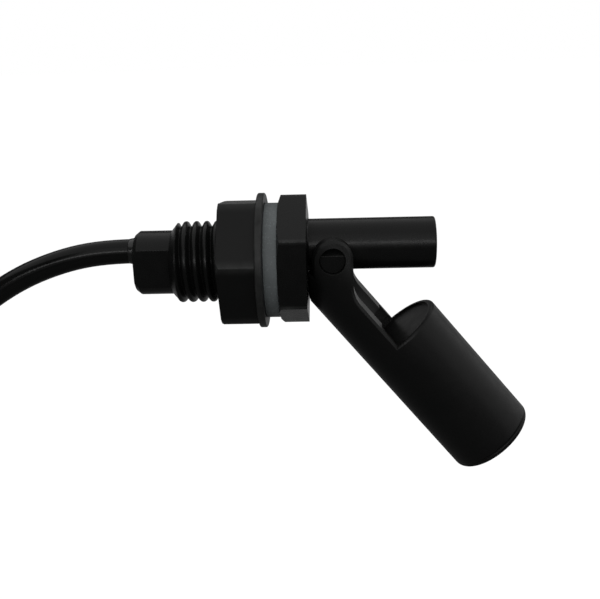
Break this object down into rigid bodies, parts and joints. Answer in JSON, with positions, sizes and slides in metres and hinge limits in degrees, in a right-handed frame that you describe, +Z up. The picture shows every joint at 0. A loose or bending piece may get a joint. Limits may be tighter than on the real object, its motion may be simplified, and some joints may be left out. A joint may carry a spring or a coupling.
{
  "type": "float level switch",
  "caption": "Side-mounted liquid level switch: threaded plastic body with nut, gasket and stem, a hinged cylindrical float on a forked arm, and a round cable.",
  "frame": {"origin": "on the thread's axis, in the hexagon head's sealing face, where the gasket seats", "axes": "+X along the thread's axis into the tank, towards the stem and float; +Z up, as the switch is mounted in a tank wall; the float hangs and swings in the XZ plane"},
  "size_m": [0.1875, 0.026, 0.1311],
  "materials": {
    "body_plastic": "fine satin moulding, black polypropylene",
    "nut_plastic": "fine satin moulding, black polypropylene",
    "float_plastic": "satin moulding, black polypropylene",
    "gasket_rubber": "matt grey rubber",
    "cable_jacket": "smooth satin cable sheath, black",
    "potting_resin": "cast black resin",
    "core_brown": "smooth wire insulation, brown",
    "core_blue": "smooth wire insulation, blue",
    "shrink_sleeve": "shrunk sleeve, black",
    "silicone": "soft pale silicone",
    "reed_glass": "clear drawn glass, faint green",
    "reed_metal": "bright nickel-iron",
    "tinned_copper": "tinned strands",
    "tie_nylon": "black nylon",
    "magnet": "dark sintered ferrite"
  },
  "bodies": {
    "body": {"switch_body": "body_plastic", "jacket_end": "cable_jacket", "potting": "potting_resin", "reed_glass": "reed_glass", "reed_blade_near": "reed_metal", "reed_blade_far": "reed_metal", "reed_cushion": "silicone", "lead_insulation": "silicone", "core_near": "core_brown", "core_far": "core_blue", "joint_sleeve_near": "shrink_sleeve", "joint_sleeve_far": "shrink_sleeve", "cable_run": "cable_jacket", "cable_coil": "cable_jacket", "cable_tail": "cable_jacket", "coil_tie": "tie_nylon", "tail_core_brown": "core_brown", "tail_core_blue": "core_blue", "tinned_tip_brown": "tinned_copper", "tinned_tip_blue": "tinned_copper"},
    "float": {"float_shell": "float_plastic", "float_cap": "float_plastic", "magnet": "magnet", "magnet_plug": "potting_resin"},
    "gasket": {"gasket": "gasket_rubber"},
    "nut": {"mounting_nut": "nut_plastic"}
  },
  "joints": [
    {"name": "float_hinge", "type": "hinge", "parent": "body", "child": "float", "pos_m": [0.01019, 0, 0.00179], "axis": [0, -1, 0], "range_deg": [0, 50.56]},
    {"name": "nut_turn", "type": "hinge", "parent": "body", "child": "gasket", "pos_m": [0, 0, 0], "axis": [-1, 0, 0], "range_deg": [0, 1440]},
    {"name": "nut_travel", "type": "slide", "parent": "gasket", "child": "nut", "axis": [-1, 0, 0], "range_m": [0, 0.0081]}
  ],
  "couplings": [
    {"joint": "nut_travel", "follows": "nut_turn", "m_per_rad": 0.00031831}
  ]
}
